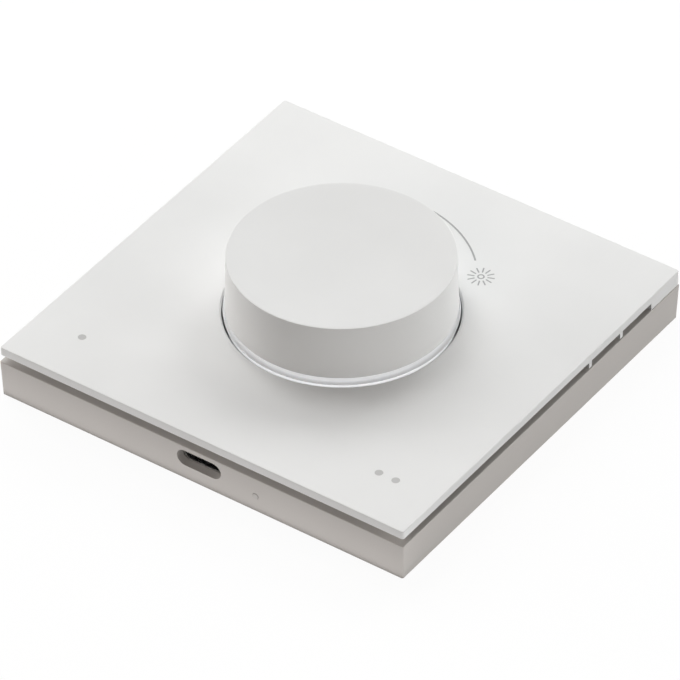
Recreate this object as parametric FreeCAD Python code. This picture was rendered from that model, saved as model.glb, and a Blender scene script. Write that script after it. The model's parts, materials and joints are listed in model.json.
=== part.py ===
import FreeCAD, Part
import math
import os

# Wireless rotary dimmer switch. Millimetres, origin at the centre of the back face,
# +Z out of the wall, +Y up the wall, away from the charging port.

# Outside of the base, the face plate and the knob
plate_side = 86.0
plate_thickness = 1.61
plate_corner = 0.45
plate_edge = 0.15
plate_gap = 1.61
plate_hole_clearance = 0.26
plate_hole_bevel = 0.32
base_proud = 0.1
base_draft = 0.25
base_height = 7.44
base_corner = 0.3
base_edge = 0.15
base_wall = 1.8
knob_radius = 20.7
knob_draft = 0.3
knob_height = 10.87
knob_edge = 0.15
knob_dish = 0.7
knob_land = 0.2
knob_wall = 1.8
knob_crown = 1.3
knob_float = 1.06
ring_overhang = 0.32
ring_stand = 0.21
ring_edge = 0.2

# Clearances
running_clearance = 0.05
seat_clearance = 0.15
hole_clearance = 0.15
drop_clearance = 0.3

# Travel of the knob and of the plate at its switches
knob_travel = 0.5
press_travel = 0.5

# Steel wall plate and its screw slots
wall_plate_margin_x = 6.0
wall_plate_margin_y = 13.0
wall_plate_corner = 5.0
wall_plate_thickness = 1.2
wall_plate_air = 0.1
screw_margin = 12.85
screw_slot_length = 8.4
screw_slot_width = 4.2
screw_head_radius = 4.0
screw_head_room = 1.8
dome_wall = 0.9

# Floor, magnets and supports of the base
floor_thickness = 1.4
magnet_radius = 4.0
magnet_thickness = 1.0
magnet_inset = 7.0
magnet_wall = 0.9
standoff_height = 0.9
standoff_radius = 2.0
support_width = 1.2
support_depth = 0.6
support_spacing = 14.0

# Main board, its outline and its screws
board_thickness = 1.0
board_margin = 0.4
board_front_gap = 0.9
board_neck_inset = 11.15
board_neck_start = 9.0
board_neck_margin = 5.4
board_screw_radius = 0.75
board_screw_head_radius = 1.5
board_screw_head = 0.8
board_screw_depth = 1.7
board_screw_inset = 5.0
board_screw_step = 2.5
neck_screw_inset = 4.0
neck_screw_drop = 3.5
socket_screw_gap = 2.6
socket_screw_drop = 2.4

# Charging port, centred on the lower edge
port_width = 9.4
port_height = 3.45
port_lift = 0.15
shell_width = 8.94
shell_height = 3.26
shell_depth = 7.3
shell_sheet = 0.3
shell_tab = 1.2
shell_tab_length = 1.0
tongue_width = 6.7
tongue_thickness = 0.7
tongue_setback = 0.8
tongue_block = 1.8

# Status lamp and its light pipe
status_x = 12.0
status_drop = 0.2
pipe_radius = 0.6
pipe_collar_radius = 0.9
pipe_collar = 0.3
pipe_proud = 0.08
pipe_bevel = 0.08
status_lamp_width = 1.6
status_lamp_depth = 0.8
status_lamp_height = 0.7

# Battery, leads, plug and socket
battery_side_room = 18.0
battery_board_gap = 1.5
battery_hinge_gap = 0.9
battery_thickness = 3.0
battery_edge = 0.9
battery_pad_inset = 2.5
battery_pad_thickness = 0.2
battery_seal = 2.0
battery_seal_thickness = 0.6
lead_radius = 0.45
lead_pitch = 1.5
lead_bend = 2.0
lead_reach = 4.0
lead_start_drop = 2.5
lead_end_drop = 5.0
lead_rise = 0.7
plug_length = 4.2
plug_width = 3.8
plug_height = 1.0
socket_wall = 0.35
socket_length = 3.4
socket_inset = 4.4

# Radio module, shield can and small parts. Their places are an X and a distance from the
# front edge of the board, or for the neck a Y from the encoder.
radio_x = -14.5
radio_from_front = 18.4
radio_length = 16.0
radio_width = 12.0
radio_board = 0.6
shield_length = 11.0
shield_width = 10.4
shield_height = 0.85
shield_sheet = 0.2
chips = [(13.0, 13.4, 4.0, 4.0, 0.9), (22.0, 20.4, 3.0, 3.0, 0.8), (25.0, 13.9, 4.0, 4.0, 1.2),
         (-12.0, 6.4, 3.2, 2.5, 0.8), (12.5, 21.9, 5.0, 3.2, 1.0)]
passive_pitch = 1.6
row_count = 5
long_row_count = 6
neck_row_count = 4
front_rows = [(8.0, 17.9, row_count, 0.0, passive_pitch), (13.5, 9.9, long_row_count, passive_pitch, 0.0),
              (-27.5, 14.4, row_count, 0.0, passive_pitch)]
neck_rows = [(-12.0, 2.5), (11.0, -2.5)]
passive_length = 1.0
passive_width = 0.5
passive_height = 0.4

# Press switches under the lower corners of the plate
switch_inset = 10.5
switch_side = 6.2
switch_height = 3.4
switch_chamfer = 0.35
switch_plunger_radius = 1.7
switch_plunger_clearance = 0.1
switch_stem = 1.6
pad_radius = 2.2
pad_thickness = 0.45

# Encoder
encoder_x = 11.8
encoder_y = 12.0
encoder_case_height = 4.5
encoder_floor = 0.3
encoder_cavity_radius = 4.2
bushing_block = 1.6
bushing_radius = 3.5
bushing_length = 4.0
strap_sheet = 0.4
strap_leg_width = 4.0
strap_leg_drop = 0.3
pin_pitch = 2.5
pin_reach = 1.6
pin_width = 0.7
pin_sheet = 0.25
pin_drop = 0.5
pin_rise = 0.7
washer_radius = 5.6
washer_thickness = 0.4
nut_across_flats = 9.8
nut_height = 1.8
nut_side_count = 6
shaft_radius = 3.0
shaft_flat = 1.5
shaft_chamfer = 0.4
dome_radius = 3.2
dome_height = 0.5
dome_sheet = 0.12
plunger_disc_clearance = 0.2
plunger_disc = 0.9
plunger_stem_radius = 2.2
plunger_stem = 0.6
clip_groove_depth = 0.6
clip_ring_radius = 3.8
clip_ring_thickness = 0.35
clip_ring_mouth = 2.6

# Chassis: deck, drum and panel
deck_thickness = 1.2
drum_radius = 10.0
drum_wall = 1.2
panel_thickness = 1.0
post_radius = 1.3
post_circle = 15.8
post_height = 0.86
peg_radius = 0.6
peg_rise = 0.4
deck_rib_width = 1.2
deck_rib_height = 0.5
deck_rib_gap = 1.3
deck_rib_switch_gap = 3.95
chassis_screw_gap = 0.2
chassis_screw_switch_step = 8.5
chassis_screw_hinge_step = 12.0
chassis_screw_radius = 0.95
chassis_screw_head_radius = 1.75
chassis_screw_head = 0.6
chassis_screw_depth = 4.0
boss_radius = 2.4

# Hinge of the plate at its upper edge
hinge_inset = 6.0
hinge_side_inset = 15.0
hinge_drop = 1.34
hinge_pin_radius = 0.8
hook_width = 6.0
hook_wall = 0.85
hook_leg = 2.0
hook_mouth = 1.3
lug_width = 2.2
lug_wall = 0.8

# Catches that hold the lower edge of the plate
catch_switch_step = 12.5
catch_inset = 7.0
catch_width = 5.0
catch_leg = 1.2
catch_barb = 0.9
catch_barb_height = 0.7
catch_grip = 0.35

# Skirt and ribs under the plate
skirt_thickness = 1.2
skirt_return = 9.0
side_rib_thickness = 0.8
side_rib_length = 4.0
side_rib_insets = [28.4, 18.6]
collar_offset = 1.0
collar_thickness = 1.0
collar_height = 0.5

# Clear ring, its milky light guide, the lamps, their board and the header below it
ring_wall = 0.25
ring_lip = 0.3
ring_lip_width = 3.0
diffuser_wall = 0.85
diffuser_lip = 0.45
ring_flange = 2.0
ring_flange_thickness = 0.8
ring_board_clearance = 0.4
ring_board_inner_gap = 0.6
ring_board_thickness = 0.8
ring_lamp_count = 12
ring_lamp_length = 1.8
ring_lamp_width = 1.4
ring_lamp_height = 0.7
ring_lamp_setback = 1.1
header_pins = 4
header_pitch = 2.0
header_y = -15.5
header_width = 2.2
header_height = 2.6
header_pin_radius = 0.3
header_pin_rise = 0.35
header_pin_drop = 0.4

# Knob carrier and shaft clip
hub_wall = 2.1
carrier_web = 1.4
carrier_rim = 1.15
carrier_rim_height = 6.4
carrier_ribs = 6
carrier_rib_thickness = 1.2
carrier_rib_height = 2.4
shaft_clip_sheet = 0.3
shaft_clip_width = 3.4
shaft_clip_margin = 0.4

full_turn = math.degrees(2 * math.pi)
edge_tolerance = 0.01

# Sides that follow from the plate
base_side = plate_side + 2 * base_proud
base_side_back = base_side - 2 * base_draft
wall_plate_x = plate_side - 2 * wall_plate_margin_x
wall_plate_y = plate_side - 2 * wall_plate_margin_y
screw_spacing = plate_side - 2 * screw_margin
inner_half = base_side / 2 - base_wall
deck_half = inner_half - seat_clearance

# Places in plan that follow from the sides
magnet_x = wall_plate_x / 2 - magnet_inset
magnet_y = wall_plate_y / 2 - magnet_inset
switch_x = plate_side / 2 - switch_inset
switch_y = -switch_x
hinge_y = plate_side / 2 - hinge_inset
hinge_x = plate_side / 2 - hinge_side_inset
catch_x = switch_x - catch_switch_step
catch_y = catch_inset - plate_side / 2
board_half_width = switch_x + switch_side / 2 + board_margin
board_front = inner_half - board_front_gap
board_neck_half_width = screw_spacing / 2 - board_neck_inset
board_neck_end = encoder_y / 2 + pin_reach + board_neck_margin
chassis_screw_x = board_half_width + boss_radius + chassis_screw_gap
chassis_screw_ys = [switch_y + chassis_screw_switch_step, hinge_y - chassis_screw_hinge_step]
battery_length = plate_side - 2 * battery_side_room
battery_start = board_neck_end + battery_board_gap
battery_end = hinge_y - hinge_pin_radius - lug_wall - battery_hinge_gap
battery_width = battery_end - battery_start
battery_y = (battery_start + battery_end) / 2
lead_outer_x = battery_length / 2 + battery_seal + lead_reach
lead_start_y = battery_y - lead_start_drop
lead_end_y = board_neck_end - lead_end_drop
socket_x = board_neck_half_width - socket_inset
radio_y = radio_from_front - board_front

# Levels from the wall upwards
recess_top = wall_plate_thickness + wall_plate_air
floor_top = recess_top + floor_thickness
border_top = floor_thickness
board_bottom = floor_top + standoff_height
board_top = board_bottom + board_thickness
port_z = board_top + port_lift
deck_top = base_height
deck_bottom = deck_top - deck_thickness
plate_bottom = base_height + plate_gap
plate_top = plate_bottom + plate_thickness
ring_top = plate_top + ring_stand
knob_bottom = ring_top + knob_float
knob_top = knob_bottom + knob_height
case_top = board_top + encoder_case_height
block_top = case_top + bushing_block
panel_bottom = block_top + strap_sheet
panel_top = panel_bottom + panel_thickness
bushing_top = panel_bottom + bushing_length
washer_top = panel_top + washer_thickness
nut_top = washer_top + nut_height
ring_board_bottom = deck_top + post_height
ring_board_top = ring_board_bottom + ring_board_thickness
crown_bottom = knob_top - knob_dish - knob_crown
hub_bottom = bushing_top + knob_travel + hole_clearance
hinge_z = deck_bottom - hinge_drop
cavity_bottom = board_top + encoder_floor
disc_bottom = cavity_bottom + dome_height + dome_sheet
shaft_bottom = disc_bottom + plunger_disc + plunger_stem + running_clearance / 2
shaft_top = crown_bottom - drop_clearance

# Radii and half widths that follow from the values above
ring_radius = knob_radius + ring_overhang
ring_wall_inner = ring_radius - ring_wall
diffuser_radius = ring_wall_inner - running_clearance
diffuser_inner = diffuser_radius - diffuser_wall
ring_lip_inner = ring_radius - ring_lip_width
flange_radius = ring_radius + ring_flange
plate_hole_radius = ring_radius + plate_hole_clearance
ring_board_radius = diffuser_inner - ring_board_clearance
ring_board_inner = drum_radius + drum_wall + ring_board_inner_gap
recess_x = wall_plate_x + 2 * drop_clearance
recess_y = wall_plate_y + 2 * drop_clearance
plateau_x = recess_x + 2 * floor_thickness
plateau_y = recess_y + 2 * floor_thickness
knob_top_radius = knob_radius - knob_draft
cap_bore = knob_radius - knob_wall
carrier_radius = cap_bore - running_clearance
hub_radius = shaft_radius + hub_wall
bore_radius = shaft_radius + running_clearance
plunger_top = plate_bottom - pad_thickness - running_clearance
header_width_x = header_pins * header_pitch
deck_rib_start = flange_radius + collar_offset + collar_thickness + deck_rib_gap
deck_rib_end = (switch_x - switch_side / 2 - deck_rib_switch_gap) * math.sqrt(2)
nut_corner_radius = nut_across_flats / 2 / math.cos(math.pi / nut_side_count)


def block(x0, x1, y0, y1, z0, z1):
    """A box between two values on each axis."""
    corner = FreeCAD.Vector(min(x0, x1), min(y0, y1), min(z0, z1))
    return Part.makeBox(abs(x1 - x0), abs(y1 - y0), abs(z1 - z0), corner)


def centred_block(size_x, size_y, z0, z1, x=0.0, y=0.0):
    """A box centred on a point in plan, between two levels."""
    return block(x - size_x / 2, x + size_x / 2, y - size_y / 2, y + size_y / 2, z0, z1)


def rod(radius, z0, z1, x=0.0, y=0.0):
    """An upright cylinder between two levels."""
    return Part.makeCylinder(radius, z1 - z0, FreeCAD.Vector(x, y, z0))


def rod_along_x(radius, x0, x1, y, z):
    """A cylinder that lies along X."""
    return Part.makeCylinder(radius, x1 - x0, FreeCAD.Vector(x0, y, z), FreeCAD.Vector(1, 0, 0))


def rod_along_y(radius, y0, y1, x, z):
    """A cylinder that lies along Y."""
    return Part.makeCylinder(radius, y1 - y0, FreeCAD.Vector(x, y0, z), FreeCAD.Vector(0, 1, 0))


def fused(shapes):
    """One solid from touching or overlapping shapes, without seam faces."""
    whole = shapes[0]
    for shape in shapes[1:]:
        whole = whole.fuse(shape)
    return whole.removeSplitter()


def cut(shape, tools):
    """The shape with every tool taken away."""
    for tool in tools:
        shape = shape.cut(tool)
    return shape


def group(shapes):
    """Separate solids kept together in one node."""
    return Part.makeCompound(shapes)


def mirrored(shape):
    """The same shape on the other side of the YZ plane."""
    return shape.mirror(FreeCAD.Vector(0, 0, 0), FreeCAD.Vector(1, 0, 0))


def turned_about_z(shape, degrees):
    """A copy turned about the knob's axis."""
    copy = shape.copy()
    copy.rotate(FreeCAD.Vector(0, 0, 0), FreeCAD.Vector(0, 0, 1), degrees)
    return copy


def ring_of(shape, count, start=0.0):
    """Evenly spaced copies about the knob's axis."""
    return [turned_about_z(shape, start + full_turn * index / count) for index in range(count)]


def top_edges(shape, level):
    """The edges that lie at a level."""
    return [edge for edge in shape.Edges if edge.BoundBox.ZMin > level - edge_tolerance]


def rounded_wire(size_x, size_y, corner, z):
    """A closed rectangle with round corners, centred on the axis."""
    half_x = size_x / 2
    half_y = size_y / 2
    slant = corner * (1 - math.sqrt(0.5))
    edges = []
    corners = [(1, -1), (1, 1), (-1, 1), (-1, -1)]
    for index, (sign_x, sign_y) in enumerate(corners):
        next_x, next_y = corners[(index + 1) % len(corners)]
        upright = sign_x == next_x
        before = (sign_x * (half_x - corner), sign_y * half_y)
        after = (sign_x * half_x, sign_y * (half_y - corner))
        if not upright:
            before, after = after, before
        middle = (sign_x * (half_x - slant), sign_y * (half_y - slant))
        target = (next_x * half_x, next_y * (half_y - corner))
        if not upright:
            target = (next_x * (half_x - corner), next_y * half_y)
        points = [FreeCAD.Vector(px, py, z) for px, py in (before, middle, after, target)]
        edges.append(Part.Arc(points[0], points[1], points[2]).toShape())
        edges.append(Part.LineSegment(points[2], points[3]).toShape())
    return Part.Wire(edges)


def rounded_block(size_x, size_y, corner, z0, z1):
    """An upright slab with round corners."""
    face = Part.Face(rounded_wire(size_x, size_y, corner, z0))
    return face.extrude(FreeCAD.Vector(0, 0, z1 - z0))


def tapered_block(side_low, side_high, corner, z0, z1):
    """A square slab whose sides lean, with round corners."""
    low = rounded_wire(side_low, side_low, corner, z0)
    high = rounded_wire(side_high, side_high, corner, z1)
    return Part.makeLoft([low, high], True, True)


def upright_slot(length, width, z0, z1, x=0.0, y=0.0):
    """A slot with round ends that runs along X, standing between two levels."""
    reach = (length - width) / 2
    ends = [rod(width / 2, z0, z1, x + side * reach, y) for side in (-1, 1)]
    return fused([centred_block(2 * reach, width, z0, z1, x, y)] + ends)


def port_slot(width, height, y0, y1, z):
    """A slot with round ends that runs along X and goes in along Y."""
    reach = (width - height) / 2
    ends = [rod_along_y(height / 2, y0, y1, side * reach, z) for side in (-1, 1)]
    return fused([block(-reach, reach, y0, y1, z - height / 2, z + height / 2)] + ends)


def turned_profile(*steps):
    """A full turn of a closed outline of (radius, z) points. A step of two points is an arc."""
    here = FreeCAD.Vector(steps[0][0], 0, steps[0][1])
    start = here
    edges = []
    for step in steps[1:]:
        if isinstance(step[0], tuple):
            middle = FreeCAD.Vector(step[0][0], 0, step[0][1])
            there = FreeCAD.Vector(step[1][0], 0, step[1][1])
            edges.append(Part.Arc(here, middle, there).toShape())
        else:
            there = FreeCAD.Vector(step[0], 0, step[1])
            edges.append(Part.LineSegment(here, there).toShape())
        here = there
    edges.append(Part.LineSegment(here, start).toShape())
    face = Part.Face(Part.Wire(edges))
    return face.revolve(FreeCAD.Vector(0, 0, 0), FreeCAD.Vector(0, 0, 1), full_turn)


def corner_arc(radius, z, size):
    """The arc step that rounds an outer top edge of a turned outline."""
    slant = size * (1 - math.sqrt(0.5))
    return ((radius - slant, z - slant), (radius - size, z))


def tube(outer, inner, z0, z1, x=0.0, y=0.0):
    """An upright pipe."""
    return rod(outer, z0, z1, x, y).cut(rod(inner, z0, z1, x, y))


def prism(corner_radius, side_count, z0, z1):
    """An upright prism with equal sides, on the axis."""
    points = []
    for index in range(side_count + 1):
        angle = 2 * math.pi * index / side_count
        points.append(FreeCAD.Vector(corner_radius * math.cos(angle), corner_radius * math.sin(angle), z0))
    return Part.Face(Part.makePolygon(points)).extrude(FreeCAD.Vector(0, 0, z1 - z0))


def screw_dome_length():
    """Length of the room that the heads of the wall screws need, along their slots."""
    return screw_slot_length - screw_slot_width + 2 * screw_head_radius


def magnet_places():
    return [(x, y) for x in (-magnet_x, magnet_x) for y in (-magnet_y, magnet_y)]


def board_screw_places():
    """Two screws beside the neck of the board and two on the neck."""
    beside_x = board_half_width - board_screw_inset
    beside_y = -board_neck_start - board_screw_step
    neck_left = (neck_screw_inset - board_neck_half_width, board_neck_end - neck_screw_drop)
    neck_right = (socket_x - socket_screw_gap, board_neck_end - socket_screw_drop)
    return [(-beside_x, beside_y), (beside_x, beside_y), neck_left, neck_right]


def chassis_screw_places():
    return [(x, y) for x in (-chassis_screw_x, chassis_screw_x) for y in chassis_screw_ys]


def encoder_pin_places():
    """Three contacts on the lower side of the encoder and two on the upper side."""
    lower = [(index * pin_pitch, -1) for index in (-1, 0, 1)]
    upper = [(index * pin_pitch, 1) for index in (-1, 1)]
    return lower + upper


def encoder_pin_y(side):
    return side * (encoder_y / 2 + pin_reach - pin_sheet / 2)


def header_places():
    first = -header_pitch * (header_pins - 1) / 2
    return [(first + index * header_pitch, header_y) for index in range(header_pins)]


def post_places():
    offset = post_circle * math.sqrt(0.5)
    return [(x, y) for x in (-offset, offset) for y in (-offset, offset)]


def wall_plate():
    """Stamped steel plate that stays on the wall, with a slot for each screw."""
    plate = rounded_block(wall_plate_x, wall_plate_y, wall_plate_corner, 0, wall_plate_thickness)
    slots = []
    for side in (-1, 1):
        place = side * screw_spacing / 2
        slots.append(upright_slot(screw_slot_length, screw_slot_width, 0, wall_plate_thickness, place))
    return cut(plate, slots)


def base_floor():
    """Floor of the base: a low border, and a raised middle over the wall plate."""
    border = rounded_block(base_side - base_wall, base_side - base_wall, base_corner, 0, border_top)
    raised = rounded_block(plateau_x, plateau_y, wall_plate_corner + floor_thickness, 0, floor_top)
    return [border, raised]


def base_supports():
    """Bosses, standoffs and small upright ribs inside the base."""
    supports = [rod(standoff_radius, floor_top, board_bottom, x, y) for x, y in board_screw_places()]
    magnet_boss_top = recess_top + magnet_thickness + magnet_wall
    for x, y in magnet_places():
        supports.append(rod(magnet_radius + magnet_wall, recess_top, magnet_boss_top, x, y))
    for x, y in chassis_screw_places():
        side = math.copysign(1, x)
        supports.append(rod(boss_radius, 0, deck_bottom, x, y))
        supports.append(block(x, side * (inner_half + seat_clearance), y - support_width / 2,
                              y + support_width / 2, 0, deck_bottom))
    half_width = support_width / 2
    for place in (-support_spacing, support_spacing):
        for side in (-1, 1):
            outer = side * (inner_half + seat_clearance)
            inner = side * (inner_half - support_depth)
            supports.append(block(place - half_width, place + half_width, inner, outer, 0, deck_bottom))
            supports.append(block(inner, outer, place - half_width, place + half_width, 0, deck_bottom))
    return supports


def screw_head_domes():
    """Low domes in the floor that leave room for the heads of the wall screws."""
    length = screw_dome_length()
    width = 2 * screw_head_radius
    top = recess_top + screw_head_room
    domes = []
    rooms = []
    for side in (-1, 1):
        place = side * screw_spacing / 2
        domes.append(upright_slot(length + 2 * dome_wall, width + 2 * dome_wall, recess_top,
                                  top + dome_wall, place))
        rooms.append(upright_slot(length, width, 0, top, place))
    return domes, rooms


def base_housing():
    """Shallow moulded tray: leaning walls, flat rim, stepped floor, port and window."""
    body = tapered_block(base_side_back, base_side, base_corner, 0, base_height)
    body = body.makeFillet(base_edge, top_edges(body, base_height))
    body = body.cut(centred_block(2 * inner_half, 2 * inner_half, border_top, base_height))
    domes, rooms = screw_head_domes()
    body = fused([body] + base_floor() + base_supports() + domes)
    tools = [rounded_block(recess_x, recess_y, wall_plate_corner + drop_clearance, 0, recess_top)]
    tools += rooms
    for x, y in magnet_places():
        tools.append(rod(magnet_radius + running_clearance, 0, recess_top + magnet_thickness, x, y))
    for x, y in board_screw_places():
        tools.append(rod(board_screw_radius, board_screw_depth, board_bottom, x, y))
    for x, y in chassis_screw_places():
        tools.append(rod(chassis_screw_radius, deck_bottom - chassis_screw_depth, deck_bottom, x, y))
    front = -base_side / 2
    tools.append(port_slot(port_width, port_height, front, -inner_half, port_z))
    tools.append(rod_along_y(pipe_radius + running_clearance, front, -inner_half, status_x, status_z()))
    return cut(body, tools)


def status_z():
    return board_bottom - status_drop


def hold_magnets():
    """Nickel plated discs that hold the unit to the wall plate."""
    top = recess_top + magnet_thickness
    return group([rod(magnet_radius, recess_top, top, x, y) for x, y in magnet_places()])


def main_board():
    """Main circuit board: wide at the port and switches, with a neck under the encoder."""
    wide = block(-board_half_width, board_half_width, -board_front, -board_neck_start,
                 board_bottom, board_top)
    neck = block(-board_neck_half_width, board_neck_half_width, -board_neck_start, board_neck_end,
                 board_bottom, board_top)
    notch_half = shell_width / 2 + hole_clearance
    notch_end = shell_depth - inner_half + hole_clearance
    tools = [block(-notch_half, notch_half, -board_front, notch_end, board_bottom, board_top)]
    for x, y in board_screw_places():
        tools.append(rod(board_screw_radius + hole_clearance, board_bottom, board_top, x, y))
    for x, side in encoder_pin_places():
        tools.append(rod(pin_width / 2 + hole_clearance, board_bottom, board_top, x, encoder_pin_y(side)))
    for side in (-1, 1):
        place = side * (encoder_x / 2 + strap_sheet / 2)
        tools.append(centred_block(strap_sheet + 2 * hole_clearance, strap_leg_width + 2 * hole_clearance,
                                   board_bottom, board_top, place))
    for x, y in header_places():
        tools.append(rod(header_pin_radius + hole_clearance / 2, board_bottom, board_top, x, y))
    return cut(fused([wide, neck]), tools)


def cylinder_screw(x, y, seat, head_radius, head_height, radius, end):
    """A pan head screw that stands on its seat and ends below it."""
    head = rod(head_radius, seat, seat + head_height, x, y)
    shank = rod(radius, end, seat, x, y)
    return fused([head, shank])


def board_screws():
    screws = []
    for x, y in board_screw_places():
        screws.append(cylinder_screw(x, y, board_top, board_screw_head_radius, board_screw_head,
                                     board_screw_radius, board_screw_depth))
    return group(screws)


def usb_shell():
    """Drawn metal shell of the charging port, closed at its back, with four tabs on the board."""
    front = -inner_half
    back = front + shell_depth
    outer = port_slot(shell_width, shell_height, front, back, port_z)
    inner = port_slot(shell_width - 2 * shell_sheet, shell_height - 2 * shell_sheet, front,
                      back - shell_sheet, port_z)
    tabs = []
    for side in (-1, 1):
        for start in (front + shell_tab_length, back - 2 * shell_tab_length):
            inside = side * (shell_width / 2 - shell_sheet / 2)
            outside = side * (shell_width / 2 + shell_tab)
            tabs.append(block(inside, outside, start, start + shell_tab_length, board_top,
                              board_top + shell_sheet))
    return fused([outer.cut(inner)] + tabs)


def usb_tongue():
    """Contact tongue of the port on its moulded block."""
    front = -inner_half + tongue_setback
    back = -inner_half + shell_depth - shell_sheet
    tongue = block(-tongue_width / 2, tongue_width / 2, front, back,
                   port_z - tongue_thickness / 2, port_z + tongue_thickness / 2)
    carrier = port_slot(shell_width - 2 * shell_sheet, shell_height - 2 * shell_sheet,
                        back - tongue_block, back, port_z)
    return fused([tongue, carrier])


def status_light_pipe():
    """Short clear rod in the lower wall, with a bevelled end and a collar inside the wall."""
    outer_end = -base_side / 2 + base_draft / 2 - pipe_proud
    inner_end = -inner_half + pipe_collar
    stem = rod_along_y(pipe_radius, outer_end + pipe_bevel, inner_end, status_x, status_z())
    collar = rod_along_y(pipe_collar_radius, -inner_half, inner_end, status_x, status_z())
    end = Part.makeCone(pipe_radius - pipe_bevel, pipe_radius, pipe_bevel,
                        FreeCAD.Vector(status_x, outer_end, status_z()), FreeCAD.Vector(0, 1, 0))
    return fused([end, stem, collar])


def status_lamp():
    """Side firing lamp under the front edge of the board."""
    front = -board_front + running_clearance
    return block(status_x - status_lamp_width / 2, status_x + status_lamp_width / 2, front,
                 front + status_lamp_depth, board_bottom - status_lamp_height, board_bottom)


def battery_cell():
    """Flat pouch cell with soft long edges and a seal strip at the end of its leads."""
    bottom = floor_top + battery_pad_thickness
    top = bottom + battery_thickness
    half = battery_length / 2
    cell = block(-half, half, battery_y - battery_width / 2, battery_y + battery_width / 2, bottom, top)
    long_edges = [edge for edge in cell.Edges if edge.BoundBox.XLength > battery_length - edge_tolerance]
    cell = cell.makeFillet(battery_edge, long_edges)
    seal = block(half, half + battery_seal, battery_y - battery_width / 2 + battery_edge,
                 battery_y + battery_width / 2 - battery_edge, top - lead_rise - battery_seal_thickness / 2,
                 top - lead_rise + battery_seal_thickness / 2)
    return fused([cell, seal])


def battery_pad():
    """Thin adhesive pad under the cell."""
    return centred_block(battery_length - 2 * battery_pad_inset, battery_width - 2 * battery_pad_inset,
                         floor_top, floor_top + battery_pad_thickness, 0, battery_y)


def lead_level():
    return floor_top + battery_pad_thickness + battery_thickness - lead_rise


def lead_tube(offset):
    """One lead: out of the seal, round two bends and into the plug."""
    level = lead_level()
    x_end = socket_x + plug_length
    x_turn = lead_outer_x + offset
    y_start = lead_start_y + offset
    y_end = lead_end_y - offset
    start = FreeCAD.Vector(battery_length / 2 + battery_seal, y_start, level)
    slant = lead_bend * (1 - math.sqrt(0.5))
    first = [FreeCAD.Vector(x_turn - lead_bend, y_start, level),
             FreeCAD.Vector(x_turn - slant, y_start - slant, level),
             FreeCAD.Vector(x_turn, y_start - lead_bend, level)]
    second = [FreeCAD.Vector(x_turn, y_end + lead_bend, level),
              FreeCAD.Vector(x_turn - slant, y_end + slant, level),
              FreeCAD.Vector(x_turn - lead_bend, y_end, level)]
    end = FreeCAD.Vector(x_end, y_end, level)
    path = Part.Wire([Part.LineSegment(start, first[0]).toShape(), Part.Arc(*first).toShape(),
                      Part.LineSegment(first[2], second[0]).toShape(), Part.Arc(*second).toShape(),
                      Part.LineSegment(second[2], end).toShape()])
    section = Part.Wire([Part.makeCircle(lead_radius, start, FreeCAD.Vector(1, 0, 0))])
    return path.makePipeShell([section], True, False)


def battery_leads():
    return group([lead_tube(offset) for offset in (-lead_pitch / 2, lead_pitch / 2)])


def battery_plug():
    """Small plug on the leads, with its nose in the socket."""
    level = lead_level()
    return block(socket_x, socket_x + plug_length, lead_end_y - plug_width / 2,
                 lead_end_y + plug_width / 2, level - plug_height / 2, level + plug_height / 2)


def battery_socket():
    """Socket on the board, open towards the plug."""
    level = lead_level()
    half = plug_width / 2 + running_clearance
    roof = level + plug_height / 2 + running_clearance
    outer = block(socket_x - socket_wall, socket_x + socket_length, lead_end_y - half - socket_wall,
                  lead_end_y + half + socket_wall, board_top, roof + socket_wall)
    room = block(socket_x, socket_x + socket_length, lead_end_y - half, lead_end_y + half,
                 level - plug_height / 2 - running_clearance, roof)
    return outer.cut(room)


def radio_module():
    """Small radio board, soldered flat on the main board."""
    return centred_block(radio_length, radio_width, board_top, board_top + radio_board, radio_x, radio_y)


def radio_shield():
    """Drawn can over the radio chip. The bare end of the module is the aerial."""
    bottom = board_top + radio_board
    top = bottom + shield_height
    x = radio_x - (radio_length - shield_length) / 2 + shield_sheet
    can = centred_block(shield_length, shield_width, bottom, top, x, radio_y)
    room = centred_block(shield_length - 2 * shield_sheet, shield_width - 2 * shield_sheet, bottom,
                         top - shield_sheet, x, radio_y)
    return can.cut(room)


def passive_row(x, y, count, step_x, step_y):
    """Evenly spaced small passive parts on the main board."""
    top = board_top + passive_height
    places = [(x + index * step_x, y + index * step_y) for index in range(count)]
    return [centred_block(passive_width, passive_length, board_top, top, *place) for place in places]


def board_components():
    """Chips, inductor and rows of small passive parts on the main board."""
    solids = []
    for x, from_front, size_x, size_y, height in chips:
        top = board_top + height
        solids.append(centred_block(size_x, size_y, board_top, top, x, from_front - board_front))
    for x, from_front, count, step_x, step_y in front_rows:
        solids += passive_row(x, from_front - board_front, count, step_x, step_y)
    for x, y in neck_rows:
        solids += passive_row(x, y, neck_row_count, 0, passive_pitch)
    return group(solids)


def switch_places():
    return [(-switch_x, switch_y), (switch_x, switch_y)]


def press_switch_bodies():
    """Square switch bodies with a chamfered lid and a bore for the plunger."""
    top = board_top + switch_height
    bodies = []
    for x, y in switch_places():
        body = centred_block(switch_side, switch_side, board_top, top, x, y)
        body = body.makeChamfer(switch_chamfer, top_edges(body, top))
        bore = rod(switch_plunger_radius + switch_plunger_clearance,
                   plunger_top - switch_stem - press_travel - running_clearance, top, x, y)
        bodies.append(body.cut(bore))
    return group(bodies)


def press_plunger(side):
    """Round switch plunger that the plate pushes in."""
    return rod(switch_plunger_radius, plunger_top - switch_stem, plunger_top, side * switch_x, switch_y)


def press_pads():
    """Soft pads under the plate, over the plungers."""
    return group([rod(pad_radius, plate_bottom - pad_thickness, plate_bottom, x, y)
                  for x, y in switch_places()])


def encoder_case():
    """Moulded lower half of the encoder, with a round room for the plunger."""
    case = centred_block(encoder_x, encoder_y, board_top, case_top)
    return case.cut(rod(encoder_cavity_radius, cavity_bottom, case_top))


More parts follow.
